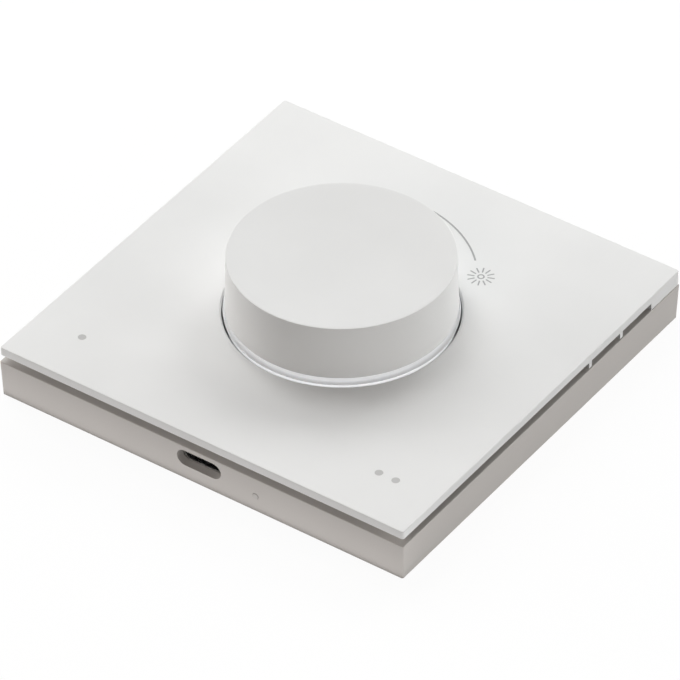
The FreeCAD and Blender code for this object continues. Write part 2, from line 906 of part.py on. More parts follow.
def encoder_bushing():
    """Die cast upper half of the encoder with its bushing."""
    plate = centred_block(encoder_x, encoder_y, case_top, block_top)
    neck = rod(bushing_radius, block_top, bushing_top)
    return cut(fused([plate, neck]), [rod(bore_radius, case_top, bushing_top)])


def encoder_strap():
    """Bent sheet that holds the halves of the encoder together and to the board."""
    sheet = centred_block(encoder_x + 2 * strap_sheet, encoder_y, block_top, panel_bottom)
    legs = []
    for side in (-1, 1):
        inside = side * encoder_x / 2
        legs.append(block(inside, inside + side * strap_sheet, -strap_leg_width / 2, strap_leg_width / 2,
                          board_bottom - strap_leg_drop, panel_bottom))
    return cut(fused([sheet] + legs), [rod(bushing_radius + running_clearance, block_top, panel_bottom)])


def encoder_pins():
    """Bent contacts from the encoder case down through the board."""
    pins = []
    for x, side in encoder_pin_places():
        centre = encoder_pin_y(side)
        level = board_top + pin_rise
        out = block(x - pin_width / 2, x + pin_width / 2, side * encoder_y / 2,
                    centre + side * pin_sheet / 2, level, level + pin_sheet)
        down = centred_block(pin_width, pin_sheet, board_bottom - pin_drop, level + pin_sheet, x, centre)
        pins.append(fused([out, down]))
    return group(pins)


def encoder_washer():
    return tube(washer_radius, bushing_radius + running_clearance, panel_top, washer_top)


def encoder_nut():
    """Hexagonal nut on the bushing, with a turned bevel on its corners."""
    body = prism(nut_corner_radius, nut_side_count, washer_top, nut_top)
    bevel = nut_corner_radius - nut_across_flats / 2
    turned = turned_profile((0, washer_top), (nut_corner_radius, washer_top),
                            (nut_corner_radius, nut_top - bevel), (nut_corner_radius - bevel, nut_top),
                            (0, nut_top))
    return body.common(turned).cut(rod(bushing_radius, washer_top, nut_top))


def encoder_shaft():
    """Round shaft with a flat for the knob and a groove for its retaining ring."""
    groove_top = case_top - running_clearance
    groove_bottom = groove_top - clip_ring_thickness
    neck = shaft_radius - clip_groove_depth
    shaft = turned_profile((0, shaft_bottom), (shaft_radius, shaft_bottom), (shaft_radius, groove_bottom),
                           (neck, groove_bottom), (neck, groove_top), (shaft_radius, groove_top),
                           (shaft_radius, shaft_top - shaft_chamfer),
                           (shaft_radius - shaft_chamfer, shaft_top), (0, shaft_top))
    flat = block(-shaft_radius, shaft_radius, shaft_flat, shaft_radius, bushing_top, shaft_top)
    return shaft.cut(flat)


def retaining_ring():
    """Open ring in the shaft's groove, which stops the knob from being pulled out."""
    top = case_top - running_clearance
    bottom = top - clip_ring_thickness
    ring = tube(clip_ring_radius, shaft_radius - clip_groove_depth, bottom, top)
    mouth = block(0, clip_ring_radius, -clip_ring_mouth / 2, clip_ring_mouth / 2, bottom, top)
    return ring.cut(mouth)


def click_dome():
    """Thin spring disc that clicks under the plunger and pushes it back."""
    ball_radius = (dome_radius ** 2 + dome_height ** 2) / (2 * dome_height)
    centre = FreeCAD.Vector(0, 0, cavity_bottom + dome_height - ball_radius)
    shell = Part.makeSphere(ball_radius + dome_sheet, centre).cut(Part.makeSphere(ball_radius, centre))
    return shell.common(rod(dome_radius, cavity_bottom, cavity_bottom + dome_height + dome_sheet))


def push_plunger():
    """Stepped disc in the encoder that carries the shaft down onto the dome."""
    disc_top = disc_bottom + plunger_disc
    disc = rod(encoder_cavity_radius - plunger_disc_clearance, disc_bottom, disc_top)
    stem = rod(plunger_stem_radius, disc_top, disc_top + plunger_stem)
    return fused([disc, stem])


def hinge_lug(x_start):
    """One lug under the deck that holds an end of a hinge pin."""
    radius = hinge_pin_radius + lug_wall
    eye = rod_along_x(radius, x_start, x_start + lug_width, hinge_y, hinge_z)
    stem = block(x_start, x_start + lug_width, hinge_y - radius, hinge_y + radius, hinge_z, deck_bottom)
    return fused([eye, stem])


def lug_starts():
    """Where the two lugs beside a hook begin, on the right side."""
    edge = hook_width / 2 + drop_clearance
    return [hinge_x - edge - lug_width, hinge_x + edge]


def chassis_openings():
    """Everything that passes through the deck or sits in it."""
    hook_half = hook_width / 2 + drop_clearance
    hook_reach = hinge_pin_radius + running_clearance + hook_wall + drop_clearance
    hook_hole = block(hinge_x - hook_half, hinge_x + hook_half, hinge_y - hook_reach,
                      hinge_y + hook_reach, deck_bottom, deck_top)
    catch_half = catch_width / 2 + drop_clearance
    catch_reach = catch_leg / 2 + catch_grip
    catch_hole = block(catch_x - catch_half, catch_x + catch_half, catch_y - catch_reach,
                       catch_y + catch_reach, deck_bottom, deck_top)
    switch_hole = centred_block(switch_side + 2 * drop_clearance, switch_side + 2 * drop_clearance,
                                deck_bottom, deck_top, switch_x, switch_y)
    pin_hole = rod_along_x(hinge_pin_radius, lug_starts()[0], lug_starts()[1] + lug_width, hinge_y, hinge_z)
    tools = []
    for tool in (hook_hole, catch_hole, switch_hole, pin_hole):
        tools += [tool, mirrored(tool)]
    tools.append(rod(drum_radius, deck_bottom, panel_bottom))
    tools.append(rod(bushing_radius + hole_clearance, panel_bottom, panel_top))
    tools.append(centred_block(header_width_x + 2 * drop_clearance, header_width + 2 * drop_clearance,
                               deck_bottom, deck_top, 0, header_y))
    port_half = shell_width / 2 + drop_clearance
    shell_top = port_z + shell_height / 2
    tools.append(block(-port_half, port_half, -deck_half, shell_depth - inner_half + drop_clearance,
                       deck_bottom, shell_top + hole_clearance))
    for x, y in chassis_screw_places():
        tools.append(rod(chassis_screw_radius + hole_clearance, deck_bottom, deck_top, x, y))
        tools.append(rod(chassis_screw_head_radius + hole_clearance,
                         deck_top - chassis_screw_head - hole_clearance, deck_top, x, y))
    return tools


def chassis():
    """Moulded deck that closes the base, with the encoder drum, lugs, posts and ribs."""
    deck = centred_block(2 * deck_half, 2 * deck_half, deck_bottom, deck_top)
    drum = rod(drum_radius + drum_wall, deck_bottom, panel_top)
    solids = [deck, drum]
    for x_start in lug_starts():
        lug = hinge_lug(x_start)
        solids += [lug, mirrored(lug)]
    rib = block(deck_rib_start, deck_rib_end, -deck_rib_width / 2, deck_rib_width / 2, deck_bottom,
                deck_top + deck_rib_height)
    solids += ring_of(rib, 4, 45)
    for x, y in post_places():
        solids.append(rod(post_radius, deck_bottom, ring_board_bottom, x, y))
        solids.append(rod(peg_radius, ring_board_bottom, ring_board_top + peg_rise, x, y))
    return cut(fused(solids), chassis_openings())


def chassis_screws():
    screws = []
    seat = deck_top - chassis_screw_head - hole_clearance
    for x, y in chassis_screw_places():
        screws.append(cylinder_screw(x, y, seat, chassis_screw_head_radius, chassis_screw_head,
                                     chassis_screw_radius, deck_bottom - chassis_screw_depth))
    return group(screws)


def hinge_pins():
    """Steel pins that the hooks of the plate turn on."""
    starts = lug_starts()
    pin = rod_along_x(hinge_pin_radius, starts[0], starts[1] + lug_width, hinge_y, hinge_z)
    return group([pin, mirrored(pin)])


def ring_board():
    """Ring shaped lamp board on the posts of the deck."""
    board = tube(ring_board_radius, ring_board_inner, ring_board_bottom, ring_board_top)
    tools = [rod(peg_radius + hole_clearance / 2, ring_board_bottom, ring_board_top, x, y)
             for x, y in post_places()]
    tools += [rod(header_pin_radius + hole_clearance / 2, ring_board_bottom, ring_board_top, x, y)
              for x, y in header_places()]
    return cut(board, tools)


def ring_lamps():
    """Lamps round the edge of the ring board, under the lip of the light guide."""
    outer = ring_board_radius - ring_lamp_setback + ring_lamp_width / 2
    lamp = block(outer - ring_lamp_width, outer, -ring_lamp_length / 2, ring_lamp_length / 2,
                 ring_board_top, ring_board_top + ring_lamp_height)
    return group(ring_of(lamp, ring_lamp_count, 180.0 / ring_lamp_count))


def ring_header():
    """Pin header that joins the main board to the ring board."""
    body_top = board_top + header_height
    solids = [centred_block(header_width_x, header_width, board_top, body_top, 0, header_y)]
    for x, y in header_places():
        solids.append(rod(header_pin_radius, board_bottom - header_pin_drop,
                          ring_board_top + header_pin_rise, x, y))
    return fused(solids)


def ring_diffuser():
    """Milky light guide inside the clear ring: a wall on the deck and a lip over the lamps."""
    top = ring_top - ring_lip - running_clearance
    lip_bottom = top - diffuser_lip
    return turned_profile((diffuser_inner, deck_top), (diffuser_radius, deck_top), (diffuser_radius, top),
                          (ring_lip_inner, top), (ring_lip_inner, lip_bottom), (diffuser_inner, lip_bottom))


def light_ring():
    """Clear ring round the foot of the knob: flange on the deck, thin wall and thin lip."""
    flange_top = deck_top + ring_flange_thickness
    lip_bottom = ring_top - ring_lip
    return turned_profile((ring_wall_inner, deck_top), (flange_radius, deck_top),
                          (flange_radius, flange_top), (ring_radius, flange_top),
                          (ring_radius, ring_top - ring_edge), corner_arc(ring_radius, ring_top, ring_edge),
                          (ring_lip_inner, ring_top), (ring_lip_inner, lip_bottom),
                          (ring_wall_inner, lip_bottom))


def plate_skirt():
    """Closing skirt under the upper edge of the plate, turned round both corners."""
    outer = plate_side / 2
    inner = outer - skirt_thickness
    bottom = base_height + seat_clearance
    back = block(-outer + plate_corner, outer - plate_corner, inner, outer, bottom, plate_bottom)
    side = block(inner, outer, outer - skirt_return, outer - plate_corner, bottom, plate_bottom)
    corner = rod(plate_corner, bottom, plate_bottom, outer - plate_corner, outer - plate_corner)
    return [back, side, mirrored(side), corner, mirrored(corner)]


def plate_side_ribs():
    """Thin ribs that show in the gap along both sides."""
    outer = plate_side / 2
    ribs = []
    for inset in side_rib_insets:
        y = outer - inset
        rib = block(outer - side_rib_length, outer, y - side_rib_thickness / 2,
                    y + side_rib_thickness / 2, base_height + drop_clearance, plate_bottom)
        ribs += [rib, mirrored(rib)]
    return ribs


def plate_hook():
    """Open hook that snaps over the right hinge pin."""
    left = hinge_x - hook_width / 2
    right = hinge_x + hook_width / 2
    bore = hinge_pin_radius + running_clearance
    radius = bore + hook_wall
    leg = block(left, right, hinge_y - hook_leg / 2, hinge_y + hook_leg / 2, hinge_z, plate_bottom)
    eye = rod_along_x(radius, left, right, hinge_y, hinge_z)
    mouth = block(left, right, hinge_y - hook_mouth / 2, hinge_y + hook_mouth / 2,
                  hinge_z - radius, hinge_z)
    return cut(fused([leg, eye]), [rod_along_x(bore, left, right, hinge_y, hinge_z), mouth])


def plate_catch():
    """Barbed leg that goes through the deck and holds the lower edge of the plate."""
    barb_top = deck_bottom - running_clearance
    barb_bottom = barb_top - catch_barb_height
    inner = catch_y + catch_leg / 2
    left = catch_x - catch_width / 2
    leg = centred_block(catch_width, catch_leg, barb_bottom, plate_bottom, catch_x, catch_y)
    outline = [FreeCAD.Vector(left, inner, barb_bottom), FreeCAD.Vector(left, inner + catch_barb, barb_top),
               FreeCAD.Vector(left, inner, barb_top), FreeCAD.Vector(left, inner, barb_bottom)]
    barb = Part.Face(Part.makePolygon(outline)).extrude(FreeCAD.Vector(catch_width, 0, 0))
    return fused([leg, barb])


def faceplate():
    """Thin square plate with its round hole, skirt, ribs, hinge hooks and catches."""
    sheet = rounded_block(plate_side, plate_side, plate_corner, plate_bottom, plate_top)
    sheet = sheet.makeFillet(plate_edge, top_edges(sheet, plate_top))
    bevel = Part.makeCone(plate_hole_radius, plate_hole_radius + plate_hole_bevel, plate_hole_bevel,
                          FreeCAD.Vector(0, 0, plate_top - plate_hole_bevel))
    sheet = cut(sheet, [rod(plate_hole_radius, plate_bottom, plate_top), bevel])
    collar_inner = flange_radius + collar_offset
    collar = tube(collar_inner + collar_thickness, collar_inner, plate_bottom - collar_height, plate_bottom)
    solids = [sheet, collar] + plate_skirt() + plate_side_ribs()
    for fitting in (plate_hook(), plate_catch()):
        solids += [fitting, mirrored(fitting)]
    return fused(solids)


def knob_cap():
    """Hollow knob: slightly leaning side, fine top edge and a shallow dish in the top."""
    body = turned_profile((cap_bore, knob_bottom), (knob_radius, knob_bottom),
                          (knob_top_radius, knob_top - knob_edge),
                          corner_arc(knob_top_radius, knob_top, knob_edge),
                          (0, knob_top), (0, crown_bottom), (cap_bore, crown_bottom))
    dish_half = knob_top_radius - knob_edge - knob_land
    ball_radius = (dish_half ** 2 + knob_dish ** 2) / (2 * knob_dish)
    ball = Part.makeSphere(ball_radius, FreeCAD.Vector(0, 0, knob_top - knob_dish + ball_radius))
    return body.cut(ball)


def knob_carrier():
    """Hub, web, ribs and rim inside the knob, with a bore that has a flat."""
    web_bottom = crown_bottom - carrier_web
    hub = rod(hub_radius, hub_bottom, crown_bottom)
    web = rod(carrier_radius, web_bottom, crown_bottom)
    rim_bottom = crown_bottom - carrier_rim_height
    rim = tube(carrier_radius, carrier_radius - carrier_rim, rim_bottom, crown_bottom)
    rib = block(0, carrier_radius - carrier_rim / 2, -carrier_rib_thickness / 2, carrier_rib_thickness / 2,
                web_bottom - carrier_rib_height, web_bottom)
    body = fused([hub, web, rim] + ring_of(rib, carrier_ribs))
    bore = rod(bore_radius, hub_bottom, shaft_top + running_clearance)
    flat_start = shaft_flat + shaft_clip_sheet + 2 * running_clearance
    flat = block(-bore_radius, bore_radius, flat_start, bore_radius, hub_bottom, crown_bottom)
    return body.cut(bore.cut(flat))


def shaft_clip():
    """Spring strip between the flat of the shaft and the flat of the hub."""
    front = shaft_flat + running_clearance
    return block(-shaft_clip_width / 2, shaft_clip_width / 2, front, front + shaft_clip_sheet,
                 hub_bottom + shaft_clip_margin, shaft_top - shaft_clip_margin)


nodes = {
    "wall_plate": wall_plate(),
    "base_housing": base_housing(),
    "hold_magnets": hold_magnets(),
    "main_board": main_board(),
    "board_screws": board_screws(),
    "usb_shell": usb_shell(),
    "usb_tongue": usb_tongue(),
    "status_light_pipe": status_light_pipe(),
    "status_lamp": status_lamp(),
    "battery_cell": battery_cell(),
    "battery_pad": battery_pad(),
    "battery_leads": battery_leads(),
    "battery_plug": battery_plug(),
    "battery_socket": battery_socket(),
    "radio_module": radio_module(),
    "radio_shield": radio_shield(),
    "board_components": board_components(),
    "press_switch_bodies": press_switch_bodies(),
    "encoder_case": encoder_case(),
    "encoder_bushing": encoder_bushing(),
    "encoder_strap": encoder_strap(),
    "encoder_pins": encoder_pins(),
    "encoder_washer": encoder_washer(),
    "encoder_nut": encoder_nut(),
    "click_dome": click_dome(),
    "chassis": chassis(),
    "chassis_screws": chassis_screws(),
    "hinge_pins": hinge_pins(),
    "ring_board": ring_board(),
    "ring_lamps": ring_lamps(),
    "ring_header": ring_header(),
    "ring_diffuser": ring_diffuser(),
    "light_ring": light_ring(),
    "faceplate": faceplate(),
    "press_pads": press_pads(),
    "press_plunger_left": press_plunger(-1),
    "press_plunger_right": press_plunger(1),
    "push_plunger": push_plunger(),
    "encoder_shaft": encoder_shaft(),
    "retaining_ring": retaining_ring(),
    "knob_carrier": knob_carrier(),
    "shaft_clip": shaft_clip(),
    "knob_cap": knob_cap(),
}

os.makedirs("parts", exist_ok=True)
for name, shape in nodes.items():
    if not shape.isValid():
        raise RuntimeError("not a valid solid: " + name)
    shape.exportStep(os.path.join("parts", name + ".step"))
    print(name, len(shape.Solids), "solids, volume", round(shape.Volume, 2))
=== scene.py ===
import json
import math
import bmesh
import bpy
from mathutils import Matrix, Vector


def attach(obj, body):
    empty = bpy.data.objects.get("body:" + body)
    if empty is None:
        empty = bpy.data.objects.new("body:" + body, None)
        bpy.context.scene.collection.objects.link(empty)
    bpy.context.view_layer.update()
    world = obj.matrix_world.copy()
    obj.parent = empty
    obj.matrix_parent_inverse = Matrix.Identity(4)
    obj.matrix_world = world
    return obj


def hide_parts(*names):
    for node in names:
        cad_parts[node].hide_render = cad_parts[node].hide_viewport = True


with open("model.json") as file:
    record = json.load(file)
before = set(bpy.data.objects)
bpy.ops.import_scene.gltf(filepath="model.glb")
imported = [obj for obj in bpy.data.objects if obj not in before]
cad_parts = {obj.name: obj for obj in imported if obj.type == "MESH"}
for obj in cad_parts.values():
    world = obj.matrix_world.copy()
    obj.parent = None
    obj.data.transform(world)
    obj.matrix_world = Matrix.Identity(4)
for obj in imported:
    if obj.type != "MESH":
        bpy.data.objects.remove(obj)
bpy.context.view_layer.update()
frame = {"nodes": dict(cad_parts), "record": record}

MILLIMETRE = 0.001
FULL_TURN = 2 * math.pi
WHITE = (1.0, 1.0, 1.0)

# Camera, as it stands to the object: angles in degrees, lengths in metres, lens in millimetres
CAMERA_AZIMUTH = 35.258
CAMERA_ELEVATION = 39.798
CAMERA_DISTANCE = 1.2846
CAMERA_TARGET = Vector((-0.002634, 0.003166, 0.0))
CAMERA_ROLL = -0.214
CAMERA_LENS = 382.8
CAMERA_SENSOR = 36.0
CAMERA_NEAREST = 0.05
CAMERA_FARTHEST = 20.0

# Lamps: azimuth and elevation in degrees, level at the object, colour. Azimuth 0 is in front.
# Only a lamp above GLOSSY_LAMP_FROM shows in gloss, so the pale tops don't turn white in low views.
LAMP_DISTANCE = 1.2
LAMP_SIZE = 0.55
GLOSSY_LAMP_FROM = 50.0
LAMPS = {
    "lamp_front": (5.0, 35.0, 0.190, (1.0, 0.945, 0.90)),
    "lamp_right": (95.0, 12.0, 0.434, (1.0, 0.99, 0.975)),
    "lamp_right_back": (155.0, 12.0, 0.345, (0.985, 1.0, 1.0)),
    "lamp_back": (185.0, 35.0, 0.334, (0.99, 1.0, 1.0)),
    "lamp_back_middle": (215.0, 35.0, 0.148, (0.99, 1.0, 1.0)),
    "lamp_back_left": (245.0, 35.0, 0.270, (0.99, 1.0, 1.0)),
    "lamp_high": (245.0, 62.0, 0.232, (0.99, 1.0, 1.0)),
    "lamp_left": (275.0, 12.0, 0.333, (1.0, 0.985, 0.97)),
    "lamp_left_front": (305.0, 12.0, 0.191, (1.0, 0.96, 0.93)),
}
AMBIENT_LEVEL = 0.01

# Floor: its tone in the light, and the white and the share of shadow that are seen, in metres
FLOOR_REACH = 12.0
FLOOR_DROP = 0.00002
FLOOR_COLOUR = (0.25, 0.25, 0.25)
FLOOR_SEEN_COLOUR = (0.90, 0.90, 0.90)
FLOOR_SHADOW = 0.08
FLOOR_WHITE = 1.014

# Strip of the floor in front of the object that gives light to its front wall, in metres
FRONT_STRIP_MIDDLE = -0.0503
FRONT_STRIP_HALF = 0.0067
FRONT_STRIP_LIGHT = 1.24

# Painted glow on the milky guide in the ring, an emission that stands in for light carried in through the
# clear ring: at its inner edge, at its outer edge, and on its side, where it paints the bright line of the
# ring's outer wall.
# The side's painted glow is near its top only, over a depth that fades at its lower end, in millimetres.
GUIDE_PAINTED_GLOW_INNER = 0.46
GUIDE_PAINTED_GLOW_OUTER = 0.03
GUIDE_PAINTED_GLOW_SIDE = 0.72
GUIDE_PAINTED_GLOW_DEPTH = 0.50
GUIDE_PAINTED_GLOW_FADE = 0.16
GUIDE_PAINTED_GLOW_COLOUR = (0.97, 0.98, 1.0)
GUIDE_UNEVEN = (0.92, 1.08)
GUIDE_UNEVEN_SCALE = 90.0

# Part of a noise's range that is stretched over the range of a look
NOISE_LOW = 0.3
NOISE_HIGH = 0.7

# Moulded plastics: scales are in cells for each metre, depths in millimetres
CLOUD_SCALE = 60.0
FINE_DETAIL = 3.0
PLASTIC_SHEEN = 0.05
PLASTIC_IOR = 1.5
GLOW_RADIUS = (1.0, 0.9, 0.8)
GLOW_DEPTH = 0.5
PLASTICS = {
    "plate_plastic": dict(colour=(0.785, 0.785, 0.78), roughness=0.42),
    "knob_plastic": dict(colour=(0.74, 0.74, 0.735), roughness=0.42),
    "inner_plastic": dict(colour=(0.74, 0.74, 0.73), roughness=0.5, cloud=0.02, grain=5000.0, depth=0.004),
    "base_plastic": dict(colour=(0.525, 0.497, 0.474)),
    "pipe_acrylic": dict(colour=(0.50, 0.48, 0.46), roughness=0.3, cloud=0.02, grain=4000.0, glow=0.3),
    "black_plastic": dict(colour=(0.02, 0.02, 0.021), roughness=0.4, cloud=0.1, grain=5000.0, depth=0.005),
    "plunger_plastic": dict(colour=(0.70, 0.20, 0.07), roughness=0.4, cloud=0.04),
    "socket_plastic": dict(colour=(0.74, 0.70, 0.60), roughness=0.4, cloud=0.03),
    "lamp_resin": dict(colour=(0.82, 0.72, 0.30), roughness=0.25, cloud=0.04, grain=3000.0, glow=0.3),
    "print_grey": dict(colour=(0.50, 0.495, 0.49), roughness=0.5, cloud=0.05, grain=12000.0, depth=0.001),
    "print_dark": dict(colour=(0.36, 0.36, 0.36), roughness=0.5, cloud=0.05, grain=12000.0, depth=0.001),
}
MILKY_LOOK = dict(colour=(0.60, 0.60, 0.60), roughness=0.35, cloud=0.01, grain=4000.0, glow=0.5)

# Clear plastic, with ripples from its mould
CLEAR_COLOUR = (0.985, 0.99, 0.99)
CLEAR_IOR = 1.49
CLEAR_ROUGHNESS = (0.03, 0.07)
RIPPLE_SCALE = 350.0
RIPPLE_DEPTH = 0.004

# Metals: the spread of their tone and of their roughness, then the look of each
METAL_TONES = (0.9, 1.08)
METAL_SHEEN = (-0.06, 0.08)
METALS = {
    "plate_steel": dict(colour=(0.60, 0.60, 0.59), roughness=0.34, scale=1500.0, depth=0.002, streak=12.0),
    "port_steel": dict(colour=(0.62, 0.62, 0.61), roughness=0.25, scale=3000.0, streak=4.0),
    "screw_steel": dict(colour=(0.52, 0.52, 0.51)),
    "pin_steel": dict(colour=(0.56, 0.56, 0.55), roughness=0.25),
    "die_cast": dict(colour=(0.60, 0.60, 0.61), roughness=0.4, scale=6000.0, depth=0.004),
    "contact_metal": dict(colour=(0.83, 0.66, 0.30), roughness=0.25),
    "magnet_plating": dict(colour=(0.70, 0.69, 0.66), roughness=0.18),
    "cell_foil": dict(colour=(0.66, 0.67, 0.69), roughness=0.38, scale=700.0, depth=0.02),
}

# Circuit boards: solder mask over copper areas, and the weave of the glass
COPPER_SCALE = 220.0
COPPER_EDGE = 0.55
WEAVE_SCALE = 900.0
WEAVE_DISTORTION = 1.5
WEAVE_DEPTH = 0.003
BOARD_ROUGHNESS = (0.28, 0.38)
BOARDS = {
    "board_laminate": dict(mask=(0.02, 0.13, 0.06), copper=(0.035, 0.19, 0.09)),
    "ring_laminate": dict(mask=(0.74, 0.74, 0.72), copper=(0.78, 0.78, 0.75)),
}

# Foams and silicones: the spread of their tone and of their roughness, then the look of each
PORE_TONES = (0.85, 1.15)
PORE_SHEEN = (-0.05, 0.1)
RUBBERS = {
    "pad_foam": dict(colour=(0.06, 0.06, 0.06)),
    "lead_sleeve": dict(colour=(0.45, 0.03, 0.02), roughness=0.5, pores=1500.0, depth=0.003),
    "pad_silicone": dict(colour=(0.66, 0.66, 0.65), roughness=0.6),
}

# Round parts that are drawn with finer faces than the frame has, in millimetres
TURN_STEPS = 288
DISH_STEPS = 32
EDGE_STEPS = 8
FOOT_STEPS = 5
SHARP_ANGLE = 30.0
DECK_TOP = 7.44
KNOB_BOTTOM = 11.93
KNOB_TOP = 22.8
KNOB_RADIUS = 20.7
KNOB_TOP_RADIUS = 20.4
KNOB_EDGE = 0.15
KNOB_FOOT_EDGE = 0.12
KNOB_DISH = 0.7
KNOB_DISH_RADIUS = 20.05
KNOB_BORE = 18.9
KNOB_CROWN = 1.3
RING_RADIUS = 21.02
RING_WALL = 0.08
RING_TOP = 10.87
RING_LIP = 0.3
RING_LIP_INNER = 18.02
RING_EDGE = 0.1
RING_FLANGE_RADIUS = 23.02
RING_FLANGE_TOP = 8.24
GUIDE_RADIUS = 20.91
GUIDE_INNER = 19.87
GUIDE_TOP = 10.59
GUIDE_LIP = 0.45
GUIDE_RIM = 0.03

# Printed marks on the face plate, in millimetres and degrees
PLATE_TOP = 10.66
MARK_LIFT = 0.012
DOT_RADIUS = 0.75
DOT_STEPS = 48
DOT_PLACES = [(-32.8, -32.55), (30.7, -32.55), (34.2, -32.55)]
SIGN_CENTRE = (15.15, 21.35)
SIGN_RING_RADIUS = 0.54
SIGN_RING_STEPS = 48
SIGN_LINE = 0.27
SIGN_RAY_COUNT = 12
SIGN_RAY_START = 1.15
SIGN_RAY_END = 2.52
SIGN_RAY_STEPS = 8
SIGN_TURN = 22.0
ARC_CENTRE = (-5.78, 7.45)
ARC_RADIUS = 24.5
ARC_LINE = 0.34
ARC_START = 44.2
ARC_END = 82.0
ARC_STEPS = 64


def direction(azimuth, elevation):
    """Unit vector away from the object, from angles in degrees. Azimuth 0 is in front of it."""
    turn = math.radians(azimuth)
    rise = math.radians(elevation)
    return Vector((math.sin(turn) * math.cos(rise), -math.cos(turn) * math.cos(rise), math.sin(rise)))


def make_camera():
    """The camera of the reference view."""
    back = direction(CAMERA_AZIMUTH, CAMERA_ELEVATION)
    azimuth = math.radians(CAMERA_AZIMUTH)
    right = Vector((math.cos(azimuth), math.sin(azimuth), 0))
    turn = Matrix((right, back.cross(right), back)).transposed().to_4x4()
    roll = Matrix.Rotation(math.radians(CAMERA_ROLL), 4, "Z")
    data = bpy.data.cameras.new("camera")
    data.lens = CAMERA_LENS
    data.sensor_width = CAMERA_SENSOR
    data.clip_start = CAMERA_NEAREST
    data.clip_end = CAMERA_FARTHEST
    camera = bpy.data.objects.new("camera", data)
    camera.matrix_world = Matrix.Translation(CAMERA_TARGET + back * CAMERA_DISTANCE) @ turn @ roll
    bpy.context.collection.objects.link(camera)
    bpy.context.scene.camera = camera


def make_lamps():
    """Round soft lamps. The energy of each gives its level on a white surface that faces it."""
    for name, (azimuth, elevation, level, colour) in LAMPS.items():
        back = direction(azimuth, elevation)
        data = bpy.data.lights.new(name, "AREA")
        data.shape = "DISK"
        data.size = LAMP_SIZE
        data.energy = level * math.pi ** 2 * LAMP_DISTANCE ** 2
        data.color = colour
        lamp = bpy.data.objects.new(name, data)
        lamp.location = back * LAMP_DISTANCE
        lamp.rotation_mode = "QUATERNION"
        lamp.rotation_quaternion = (-back).to_track_quat("-Z", "Y")
        lamp.visible_camera = False
        lamp.visible_glossy = elevation > GLOSSY_LAMP_FROM
        bpy.context.collection.objects.link(lamp)


def combined(tree, operation, first, second):
    """Two values joined by a math node."""
    node = tree.nodes.new("ShaderNodeMath")
    node.operation = operation
    tree.links.new(first, node.inputs[0])
    tree.links.new(second, node.inputs[1])
    return node.outputs[0]


def mixed(tree, first, second, share=None):
    """Two shaders mixed, by the value of another node where a share is given."""
    node = tree.nodes.new("ShaderNodeMixShader")
    tree.links.new(first.outputs[0], node.inputs[1])
    tree.links.new(second.outputs[0], node.inputs[2])
    if share:
        tree.links.new(share, node.inputs["Fac"])
    return node


def seen_directly(tree):
    """1 for camera, glossy and transmission rays, which see the plain white background."""
    path = tree.nodes.new("ShaderNodeLightPath")
    seen = combined(tree, "MAXIMUM", path.outputs["Is Camera Ray"], path.outputs["Is Glossy Ray"])
    return combined(tree, "MAXIMUM", seen, path.outputs["Is Transmission Ray"])


def make_world():
    """Weak light from all round, and plain white where the world is seen."""
    world = bpy.data.worlds.new("studio")
    world.use_nodes = True
    tree = world.node_tree
    tree.nodes.clear()
    ambient = tree.nodes.new("ShaderNodeBackground")
    ambient.inputs["Color"].default_value = (*WHITE, 1)
    ambient.inputs["Strength"].default_value = AMBIENT_LEVEL
    white = tree.nodes.new("ShaderNodeBackground")
    white.inputs["Color"].default_value = (*WHITE, 1)
    output = tree.nodes.new("ShaderNodeOutputWorld")
    surface = mixed(tree, ambient, white, seen_directly(tree))
    tree.links.new(surface.outputs[0], output.inputs["Surface"])
    bpy.context.scene.world = world


def diffuse(tree, colour):
    node = tree.nodes.new("ShaderNodeBsdfDiffuse")
    node.inputs["Color"].default_value = (*colour, 1)
    return node


def giving_light(tree, strength):
    node = tree.nodes.new("ShaderNodeEmission")
    node.inputs["Strength"].default_value = strength
    return node


def floor_material():
    """Pale in the light, with the bright strip. Seen directly it is white, with a faint soft shadow."""
    material = bpy.data.materials.new("floor_white")
    material.use_nodes = True
    tree = material.node_tree
    tree.nodes.clear()
    split = tree.nodes.new("ShaderNodeSeparateXYZ")
    tree.links.new(place_on_object(tree), split.inputs[0])
    in_strip = tree.nodes.new("ShaderNodeMath")
    in_strip.operation = "COMPARE"
    in_strip.inputs[1].default_value = FRONT_STRIP_MIDDLE
    in_strip.inputs[2].default_value = FRONT_STRIP_HALF
    tree.links.new(split.outputs["Y"], in_strip.inputs[0])
    strip = giving_light(tree, FRONT_STRIP_LIGHT)
    in_the_light = mixed(tree, diffuse(tree, FLOOR_COLOUR), strip, in_strip.outputs[0])
    as_seen = mixed(tree, giving_light(tree, FLOOR_WHITE), diffuse(tree, FLOOR_SEEN_COLOUR))
    as_seen.inputs["Fac"].default_value = FLOOR_SHADOW
    surface = mixed(tree, in_the_light, as_seen, seen_directly(tree))
    output = tree.nodes.new("ShaderNodeOutputMaterial")
    tree.links.new(surface.outputs[0], output.inputs["Surface"])
    return material


def make_floor():
    mesh = bpy.data.meshes.new("floor")
    shape = bmesh.new()
    bmesh.ops.create_grid(shape, x_segments=1, y_segments=1, size=FLOOR_REACH)
    bmesh.ops.translate(shape, verts=shape.verts, vec=Vector((0, 0, -FLOOR_DROP)))
    shape.to_mesh(mesh)
    shape.free()
    mesh.materials.append(floor_material())
    floor = bpy.data.objects.new("floor", mesh)
    bpy.context.collection.objects.link(floor)


def place_on_object(tree):
    """Coordinates that are fixed to the object, in metres."""
    return tree.nodes.new("ShaderNodeTexCoord").outputs["Object"]


def new_material(name):
    material = bpy.data.materials.new(name)
    material.use_nodes = True
    tree = material.node_tree
    return material, tree, tree.nodes["Principled BSDF"]


